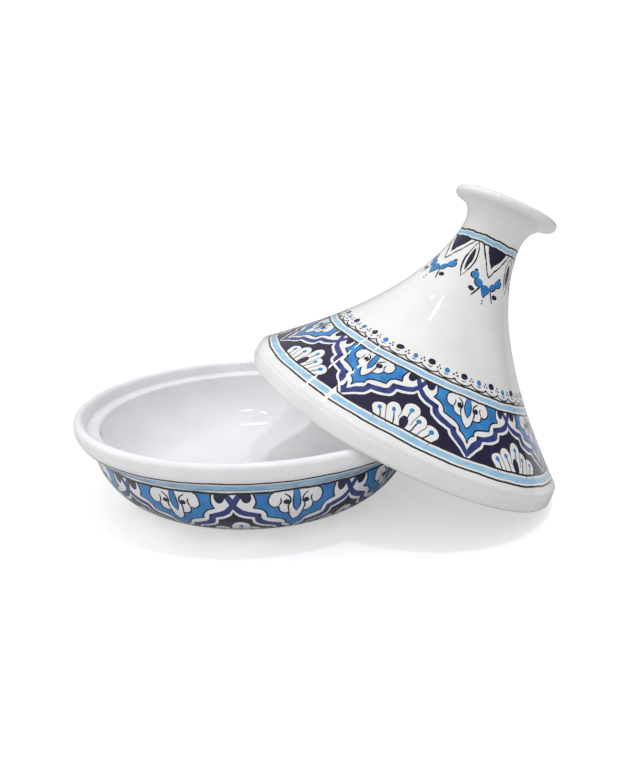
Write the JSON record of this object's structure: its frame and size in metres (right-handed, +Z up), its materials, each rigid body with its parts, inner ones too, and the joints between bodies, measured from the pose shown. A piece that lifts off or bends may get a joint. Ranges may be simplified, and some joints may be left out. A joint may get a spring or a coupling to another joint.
{
  "type": "tagine pot",
  "caption": "Round serving dish on a foot ring with a conical lid and cupped knob, glazed white with blue painted bands, the lid leaning on the dish's lip.",
  "frame": {"origin": "middle of the dish's foot ring, on the surface that the pot stands on", "axes": "+Z up along the dish's axis, +X towards the side where the lid leans, +Y to the back"},
  "size_m": [0.3617, 0.27, 0.2238],
  "materials": {
    "dish_glaze": "glossy white glaze over hand-painted cobalt, azure and sky-blue bands",
    "lid_glaze": "glossy white glaze over hand-painted cobalt, azure and sky-blue bands"
  },
  "bodies": {
    "dish": {"dish": "dish_glaze"},
    "lid": {"lid": "lid_glaze"}
  },
  "joints": [
    {"name": "lid_lift", "type": "slide", "parent": "dish", "child": "lid", "axis": [0, 0, 1], "range_m": [0, 0.15]}
  ]
}
